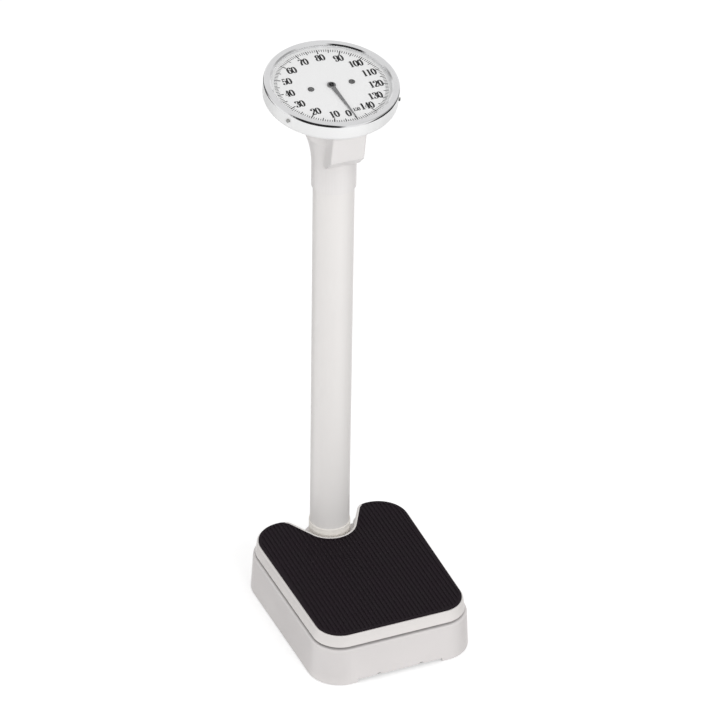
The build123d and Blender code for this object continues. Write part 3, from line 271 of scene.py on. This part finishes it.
def new_material(name):
    """Material with a Principled shader, and what is needed to build on it."""
    mat = bpy.data.materials.new(name)
    mat.use_nodes = True
    nodes = mat.node_tree.nodes
    links = mat.node_tree.links
    nodes.clear()
    out = nodes.new("ShaderNodeOutputMaterial")
    shader = nodes.new("ShaderNodeBsdfPrincipled")
    links.new(shader.outputs["BSDF"], out.inputs["Surface"])
    return mat, nodes, links, shader, out


def surface(name, colour, rough, metal=0.0, vary=0.04, mottling=9.0, grain=900.0, depth=0.00002,
            stretch=None, edge=0.0, specular=0.5):
    """Procedural finish: mottled colour, uneven gloss, fine relief and, where asked, lighter edges
    (wear and painted highlight).
    """
    mat, nodes, links, shader, _ = new_material(name)
    coords = nodes.new("ShaderNodeTexCoord").outputs["Object"]
    broad = noise(nodes, links, coords, mottling, BROAD_NOISE)
    fine = noise(nodes, links, coords, grain, FINE_NOISE, stretch)
    tint = shade(nodes, links, broad, scaled(colour, 1 - vary),
                 scaled(colour, 1 + vary * LIGHTER_SHARE))
    # Sharp edges lightened towards EDGE_LIGHT: partly wear, partly a painted highlight
    if edge:
        edge_wear_and_highlight = nodes.new("ShaderNodeNewGeometry")
        mask = spread(nodes, links, edge_wear_and_highlight.outputs["Pointiness"], 0.0, edge, EDGE_RANGE)
        mix = nodes.new("ShaderNodeMix")
        mix.data_type = "RGBA"
        links.new(mask, mix.inputs["Factor"])
        links.new(tint, mix.inputs["A"])
        mix.inputs["B"].default_value = scaled(colour, EDGE_LIGHT)
        tint = mix.outputs["Result"]
    links.new(tint, shader.inputs["Base Color"])
    links.new(spread(nodes, links, broad, *rough), shader.inputs["Roughness"])
    relief(nodes, links, shader, fine, RELIEF, depth)
    shader.inputs["Metallic"].default_value = metal
    shader.inputs["Specular IOR Level"].default_value = specular
    return mat


def glass_material(name):
    """Clear flat glass with little glare that lets lamp light through to the dial."""
    mat, nodes, links, shader, out = new_material(name)
    coords = nodes.new("ShaderNodeTexCoord").outputs["Object"]
    smear = noise(nodes, links, coords, GLASS_MOTTLING, BROAD_NOISE)
    links.new(spread(nodes, links, smear, *GLASS_ROUGH), shader.inputs["Roughness"])
    relief(nodes, links, shader, smear, GLASS_RELIEF, GLASS_DEPTH)
    shader.inputs["Base Color"].default_value = WHITE
    shader.inputs["Transmission Weight"].default_value = 1.0
    shader.inputs["IOR"].default_value = GLASS_INDEX
    clear = nodes.new("ShaderNodeBsdfTransparent")
    clear.inputs["Color"].default_value = WHITE
    rays = nodes.new("ShaderNodeLightPath").outputs
    passing = combine(nodes, links, "MAXIMUM", rays["Is Shadow Ray"], rays["Is Diffuse Ray"])
    links.new(mixed(nodes, links, passing, shader.outputs["BSDF"], clear.outputs["BSDF"]),
              out.inputs["Surface"])
    return mat


# edge: how far sharp edges are lightened, partly as wear and partly as a painted highlight
LOOKS = {
    "casing_paint": dict(colour=linear(217, 213, 212), rough=(0.32, 0.42), vary=0.03,
                         grain=700.0, edge=0.4),
    "cover_paint": dict(colour=linear(222, 218, 216), rough=(0.30, 0.40), vary=0.03,
                        grain=700.0, edge=0.4),
    "mat_rubber": dict(colour=linear(32, 24, 30), rough=(0.6, 0.75), vary=0.2, mottling=30.0,
                       grain=2200.0, depth=0.00004, specular=0.12),
    "foot_rubber": dict(colour=linear(38, 38, 38), rough=(0.6, 0.8), vary=0.2, mottling=60.0,
                        grain=1800.0, depth=0.00008, specular=0.3),
    "pan_paint": dict(colour=linear(150, 150, 148), rough=(0.35, 0.5), vary=0.05, grain=600.0,
                      edge=0.5),
    "column_paint": dict(colour=linear(232, 229, 227), rough=(0.30, 0.38), vary=0.015,
                         mottling=5.0, grain=500.0, specular=0.4),
    "collar_trim": dict(colour=linear(240, 236, 230), rough=(0.5, 0.6), vary=0.03, grain=900.0),
    "neck_paint": dict(colour=linear(226, 223, 222), rough=(0.30, 0.40), vary=0.02, grain=650.0,
                       edge=0.3),
    "drum_paint": dict(colour=linear(236, 236, 236), rough=(0.28, 0.38), vary=0.015,
                       grain=650.0, edge=0.3),
    "chrome_trim": dict(colour=linear(238, 238, 239), rough=(0.05, 0.10), metal=1.0, vary=0.03,
                        mottling=25.0, grain=1500.0, depth=0.000004),
    "dial_white": dict(colour=linear(244, 244, 244), rough=(0.45, 0.55), vary=0.01,
                       grain=1200.0, depth=0.000006),
    "dial_ink": dict(colour=linear(10, 10, 11), rough=(0.45, 0.6), vary=0.1, mottling=200.0,
                     grain=2500.0, depth=0.000004, specular=0.2),
    "pointer_black": dict(colour=linear(28, 28, 28), rough=(0.35, 0.5), vary=0.15,
                          mottling=60.0, grain=1500.0),
    "pointer_grey": dict(colour=linear(118, 118, 119), rough=(0.4, 0.55), vary=0.1,
                         mottling=60.0, grain=1500.0),
    "cap_black": dict(colour=linear(8, 8, 9), rough=(0.3, 0.4), vary=0.1, mottling=60.0,
                      grain=1500.0, specular=0.15),
    "eyelet_steel": dict(colour=linear(205, 205, 204), rough=(0.25, 0.35), metal=0.7, vary=0.05,
                         mottling=150.0, grain=2000.0),
    "frame_steel": dict(colour=linear(176, 178, 180), rough=(0.28, 0.42), metal=0.9, vary=0.08,
                        mottling=40.0, grain=700.0, edge=0.4),
    "lever_iron": dict(colour=linear(84, 88, 92), rough=(0.4, 0.55), vary=0.12, mottling=35.0,
                       grain=500.0, depth=0.00005, edge=0.8),
    "bright_steel": dict(colour=linear(196, 197, 200), rough=(0.2, 0.32), metal=1.0, vary=0.06,
                         mottling=60.0, grain=900.0, stretch=(1.0, 12.0, 1.0)),
    "screws": dict(colour=linear(178, 178, 176), rough=(0.25, 0.38), metal=1.0, vary=0.08,
                   mottling=120.0, grain=1600.0),
    "dark_screws": dict(colour=linear(92, 92, 92), rough=(0.35, 0.5), metal=0.6, vary=0.1,
                        mottling=120.0, grain=1600.0),
    "movement_brass": dict(colour=linear(214, 186, 122), rough=(0.22, 0.34), metal=1.0,
                           vary=0.08, mottling=60.0, grain=900.0, stretch=(10.0, 1.0, 1.0)),
    "knob_black": dict(colour=linear(46, 46, 47), rough=(0.4, 0.55), vary=0.15, mottling=80.0,
                       grain=1400.0, depth=0.00004),
}
FINISHES = {name: surface(name, **look) for name, look in LOOKS.items()}
FINISHES["glass"] = glass_material("glass")
# Nodes with a finish of their own in place of their slot's
OWN_FINISHES = {"pointer": "pointer_grey", "pointer_cap": "cap_black"}


def dress_nodes():
    for part in frame["record"]["subparts"]:
        obj = frame["nodes"][part["node"]]
        mat = FINISHES[OWN_FINISHES.get(part["node"], part["material_slot"])]
        if obj.material_slots:
            for holder in obj.material_slots:
                holder.link = "OBJECT"
                holder.material = mat
        else:
            obj.data.materials.append(mat)


def place(name, verts, faces, mat, body, frame_of=DIAL_FRAME):
    """Mesh piece in metres, given in dial coordinates unless another frame is named."""
    mesh = bpy.data.meshes.new(name)
    mesh.from_pydata([frame_of @ Vector(v) for v in verts], [], faces)
    mesh.validate()
    mesh.materials.append(mat)
    obj = bpy.data.objects.new(name, mesh)
    bpy.context.collection.objects.link(obj)
    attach(obj, body)
    return obj


def on_dial(place_in_divisions):
    """Unit direction on the dial, clockwise from its zero, just right of the user's side."""
    turn = math.radians(place_in_divisions * 360 / DIVISIONS - ZERO_TURN)
    return Vector((-math.sin(turn), -math.cos(turn), 0.0))


def dial_ticks():
    verts, faces = [], []
    lift = Vector((0, 0, PRINT_LIFT))
    for i in range(DIVISIONS):
        length, width = SHORT_TICK
        if i % MIDDLE_STEP == 0:
            length, width = MIDDLE_TICK
        if i % FIGURE_STEP == 0:
            length, width = LONG_TICK
        out = on_dial(i)
        side = Vector((-out.y, out.x, 0.0)) * width / 2
        inner = TICK_OUTER - length
        n = len(verts)
        for r, s in ((inner, -1), (inner, 1), (TICK_OUTER, 1), (TICK_OUTER, -1)):
            verts.append(out * r + side * s + lift)
        faces.append((n, n + 1, n + 2, n + 3))
    place("dial_ticks", verts, faces, FINISHES["dial_ink"], "stand")


def smooth(points):
    """Smooth line through the points."""
    out = []
    n = len(points)
    for i in range(n - 1):
        near = (points[max(i - 1, 0)], points[i], points[i + 1], points[min(i + 2, n - 1)])
        for k in range(CURVE_STEPS):
            t = k / CURVE_STEPS
            out.append(tuple(0.5 * (2 * b + (c - a) * t + (2 * a - 5 * b + 4 * c - d) * t * t
                                    + (3 * b - a - 3 * c + d) * t ** 3)
                             for a, b, c, d in zip(*near)))
    out.append(points[-1])
    return out


def oval(cx, cy, rx, ry, count=OVAL_SIDES):
    """Closed line whose last point is its first."""
    turns = [2 * math.pi * i / count for i in range(count + 1)]
    return [(cx + rx * math.cos(turn), cy + ry * math.sin(turn)) for turn in turns]


def pen(path, verts, faces, width=None):
    """Ribbon along a path: broad where it runs up and down, thin where it runs across."""
    n = len(verts)
    closed = path[0] == path[-1]
    for i, (x, y) in enumerate(path):
        before = path[i - 1] if i else (path[-2] if closed else path[0])
        after = path[i + 1] if i + 1 < len(path) else (path[1] if closed else path[-1])
        dx, dy = after[0] - before[0], after[1] - before[1]
        size = math.hypot(dx, dy) or 1.0
        dx, dy = dx / size, dy / size
        w = width if width else THIN + (THICK - THIN) * abs(dy) ** CONTRAST
        verts.append((x - dy * w / 2, y + dx * w / 2))
        verts.append((x + dy * w / 2, y - dx * w / 2))
        if i:
            k = n + 2 * i
            faces.append((k - 2, k - 1, k + 1, k))


def spot(x, y, r, verts, faces):
    """Round end of a stroke."""
    n = len(verts)
    ring = oval(x, y, r, r, SPOT_SIDES)[:-1]
    verts.extend(ring)
    faces.append(tuple(range(n, n + len(ring))))


def digit(ch):
    """Bold condensed figure with thin cross strokes, one unit high."""
    verts, faces = [], []
    turned = ch == "9"
    for kind, shape, *width in DIGITS["6" if turned else ch]:
        if kind == "line":
            pen(shape, verts, faces, *width)
        elif kind == "curve":
            pen(smooth(shape), verts, faces)
        elif kind == "oval":
            pen(oval(*shape), verts, faces)
        else:
            spot(*shape, verts, faces)
    if turned:
        verts = [(TURNED_WIDTH - x, 1.0 - y) for x, y in verts]
    return verts, faces


def numeral(text, centre, height, verts, faces):
    """Adds a number, upright on the dial, centred on a point."""
    total = ADVANCE * len(text)
    for i, ch in enumerate(text):
        points, loops = digit(ch)
        n = len(verts)
        for x, y in points:
            verts.append(Vector((centre.x + (x + i * ADVANCE - total / 2) * height,
                                 centre.y + (y - 0.5) * height, PRINT_LIFT)))
        faces.extend(tuple(n + k for k in loop) for loop in loops)


def dial_numerals():
    verts, faces = [], []
    for value in range(0, DIVISIONS, FIGURE_STEP):
        where = on_dial(max(value, ZERO_PLACE)) * FIGURE_RADIUS
        numeral(str(value), where, FIGURE_HEIGHT, verts, faces)
    numeral(str(DIVISIONS), on_dial(LAST_PLACE) * LAST_RADIUS, LAST_HEIGHT, verts, faces)
    place("dial_numerals", verts, faces, FINISHES["dial_ink"], "stand")


def hub_eyelet():
    """Turned ring round the pointer's arbor, a little proud of the dial."""
    verts, faces = [], []
    rows = len(EYELET_SECTION)
    for i in range(EYELET_SIDES):
        turn = 2 * math.pi * i / EYELET_SIDES
        verts.extend((r * math.cos(turn), r * math.sin(turn), h) for r, h in EYELET_SECTION)
        first, second = i * rows, (i + 1) % EYELET_SIDES * rows
        for k in range(rows - 1):
            faces.append((first + k, second + k, second + k + 1, first + k + 1))
    ring = place("hub_eyelet", verts, faces, FINISHES["eyelet_steel"], "stand")
    for face in ring.data.polygons:
        face.use_smooth = True


def notch_edge(clear):
    """Right half of a line beside the notch's edge, from its middle outwards, in plan.

    The third value of each point is the share of the lip's height there.
    """
    reach = NOTCH_REACH - clear
    sweep = math.pi / 2 - NOTCH_FLARE
    points = []
    for i in range(NOTCH_STEPS + 1):
        turn = sweep * i / NOTCH_STEPS
        points.append((reach * math.sin(turn), -reach * math.cos(turn), 1.0))
    depth = REAR_EDGE - LOBE_CORNER
    across = (NOTCH_REACH + LOBE_CORNER + depth * math.sin(NOTCH_FLARE)) / math.cos(NOTCH_FLARE)
    corner = LOBE_CORNER + clear
    for i in range(LIP_STEPS):
        turn = math.pi - NOTCH_FLARE - sweep * i / LOBE_STEPS
        share = min(1.0, (LIP_END - i) / LIP_FADE)
        points.append((across + corner * math.cos(turn), depth + corner * math.sin(turn),
                       share * share * (3 - 2 * share)))
    return points


def notch_lip():
    """Pale lip of the cover round the notch, just over the edge of the mat."""
    verts, faces = [], []
    for clear, height in LIP_SECTION:
        half = notch_edge(clear)
        row = [(-x, y, share) for x, y, share in reversed(half[1:])] + half
        verts.extend((x, y, COVER_TOP + height * share) for x, y, share in row)
    rows = len(LIP_SECTION)
    count = len(verts) // rows
    for i in range(rows):
        first, second = i * count, (i + 1) % rows * count
        for k in range(count - 1):
            faces.append((first + k, first + k + 1, second + k + 1, second + k))
    faces.append(tuple(i * count for i in reversed(range(rows))))
    faces.append(tuple(i * count + count - 1 for i in range(rows)))
    lip = place("notch_lip", verts, faces, FINISHES["cover_paint"], "platform",
                COLUMN_FRAME)
    for face in lip.data.polygons:
        face.use_smooth = len(face.vertices) == 4


def vector_maths(nodes, links, operation, way, constant=None):
    """Vector node on a socket and, where it takes two, a constant."""
    node = nodes.new("ShaderNodeVectorMath")
    node.operation = operation
    links.new(way, node.inputs[0])
    if constant:
        node.inputs[1].default_value = constant
    return node.outputs


def mirrored_room(nodes, links):
    """Brightness of the room in bright metal: pale, a little darker overhead, with dark gaps."""
    way = nodes.new("ShaderNodeTexCoord").outputs["Generated"]
    split = nodes.new("ShaderNodeSeparateXYZ")
    links.new(way, split.inputs["Vector"])
    height = split.outputs["Z"]
    flat = vector_maths(nodes, links, "MULTIPLY", way, (1.0, 1.0, 0.0))["Vector"]
    bearing = vector_maths(nodes, links, "NORMALIZE", flat)["Vector"]
    level = spread(nodes, links, height, HORIZON, ZENITH, (HORIZON_TOP, ZENITH_FOOT))
    for middle, half, top, depth in DARK_GAPS:
        turn = math.radians(middle)
        toward = vector_maths(nodes, links, "DOT_PRODUCT", bearing,
                              (math.sin(turn), -math.cos(turn), 0.0))["Value"]
        edges = [math.cos(math.radians(half + k * GAP_SOFTNESS)) for k in (1, -1)]
        across = spread(nodes, links, toward, 0.0, depth, edges)
        below = spread(nodes, links, height, 1.0, 0.0, top)
        dark = combine(nodes, links, "MULTIPLY", across, below)
        kept = combine(nodes, links, "SUBTRACT", 1.0, dark)
        level = combine(nodes, links, "MULTIPLY", level, kept)
    return level


def backdrop(nodes, colour, strength=1.0):
    node = nodes.new("ShaderNodeBackground")
    node.inputs["Color"].default_value = colour
    node.inputs["Strength"].default_value = strength
    return node


def room():
    """White backdrop, softer where it lights the object, with dark gaps where metal mirrors it."""
    world = bpy.data.worlds.new("studio")
    bpy.context.scene.world = world
    world.use_nodes = True
    nodes = world.node_tree.nodes
    links = world.node_tree.links
    nodes.clear()
    out = nodes.new("ShaderNodeOutputWorld")
    soft = backdrop(nodes, WHITE, SKY)
    white = backdrop(nodes, WHITE)
    mirrored = backdrop(nodes, PANEL_GREY)
    links.new(mirrored_room(nodes, links), mirrored.inputs["Strength"])
    rays = nodes.new("ShaderNodeLightPath").outputs
    seen = combine(nodes, links, "MAXIMUM", rays["Is Camera Ray"], rays["Is Transmission Ray"])
    unseen = mixed(nodes, links, rays["Is Glossy Ray"], soft.outputs[0], mirrored.outputs[0])
    links.new(mixed(nodes, links, seen, unseen, white.outputs[0]), out.inputs["Surface"])


def studio_floor():
    """Pale floor that keeps the object's shadow and glows up to white where it is seen."""
    mat = bpy.data.materials.new("studio_floor")
    mat.use_nodes = True
    nodes = mat.node_tree.nodes
    links = mat.node_tree.links
    nodes.clear()
    out = nodes.new("ShaderNodeOutputMaterial")
    base = nodes.new("ShaderNodeBsdfDiffuse")
    base.inputs["Color"].default_value = FLOOR_GREY
    glow = nodes.new("ShaderNodeEmission")
    rays = nodes.new("ShaderNodeLightPath").outputs
    seen = combine(nodes, links, "MAXIMUM", rays["Is Camera Ray"], rays["Is Glossy Ray"])
    seen = combine(nodes, links, "MAXIMUM", seen, rays["Is Transmission Ray"])
    links.new(combine(nodes, links, "MULTIPLY", seen, FLOOR_GLOW), glow.inputs["Strength"])
    add = nodes.new("ShaderNodeAddShader")
    links.new(base.outputs[0], add.inputs[0])
    links.new(glow.outputs[0], add.inputs[1])
    links.new(add.outputs[0], out.inputs["Surface"])
    mesh = bpy.data.meshes.new("floor")
    s = FLOOR_REACH
    mesh.from_pydata([(-s, -s, 0), (s, -s, 0), (s, s, 0), (-s, s, 0)], [], [(0, 1, 2, 3)])
    mesh.materials.append(mat)
    floor = bpy.data.objects.new("floor", mesh)
    bpy.context.collection.objects.link(floor)
    floor.visible_glossy = False


def lamp(name, position, target, size, power):
    """Soft lamp that metal and glass don't mirror."""
    data = bpy.data.lights.new(name, "AREA")
    data.shape = "RECTANGLE"
    data.size, data.size_y = size
    data.energy = power
    obj = bpy.data.objects.new(name, data)
    bpy.context.collection.objects.link(obj)
    obj.location = position
    aim = Vector(target) - Vector(position)
    obj.rotation_euler = aim.to_track_quat("-Z", "Y").to_euler()
    obj.visible_glossy = False


def camera():
    """Camera at the photograph's angle, found from the base, the column and the dial."""
    back = Vector((math.sin(AZIMUTH) * math.cos(ELEVATION),
                   -math.cos(AZIMUTH) * math.cos(ELEVATION), math.sin(ELEVATION)))
    ahead = -back
    right = ahead.cross(Vector((0, 0, 1))).normalized()
    up = right.cross(ahead)
    side = right * math.cos(ROLL) + up * math.sin(ROLL)
    top = -right * math.sin(ROLL) + up * math.cos(ROLL)
    shift_x, shift_y = (shift / FOCAL_PX * DISTANCE for shift in SHIFT_PX)
    position = AIM - ahead * DISTANCE - side * shift_x + top * shift_y
    data = bpy.data.cameras.new("camera")
    data.sensor_width = SENSOR
    data.lens = FOCAL_PX / PICTURE_PX * SENSOR
    data.clip_start, data.clip_end = CLIP
    obj = bpy.data.objects.new("camera", data)
    bpy.context.collection.objects.link(obj)
    turn = Matrix((side, top, back)).transposed()
    obj.matrix_world = Matrix.Translation(position) @ turn.to_4x4()
    bpy.context.scene.camera = obj


camera()
room()
studio_floor()
for lamp_name, settings in LAMPS.items():
    lamp(lamp_name, *settings)
dress_nodes()
dial_ticks()
dial_numerals()
hub_eyelet()
notch_lip()

bpy.context.scene.view_settings.view_transform = "Standard"
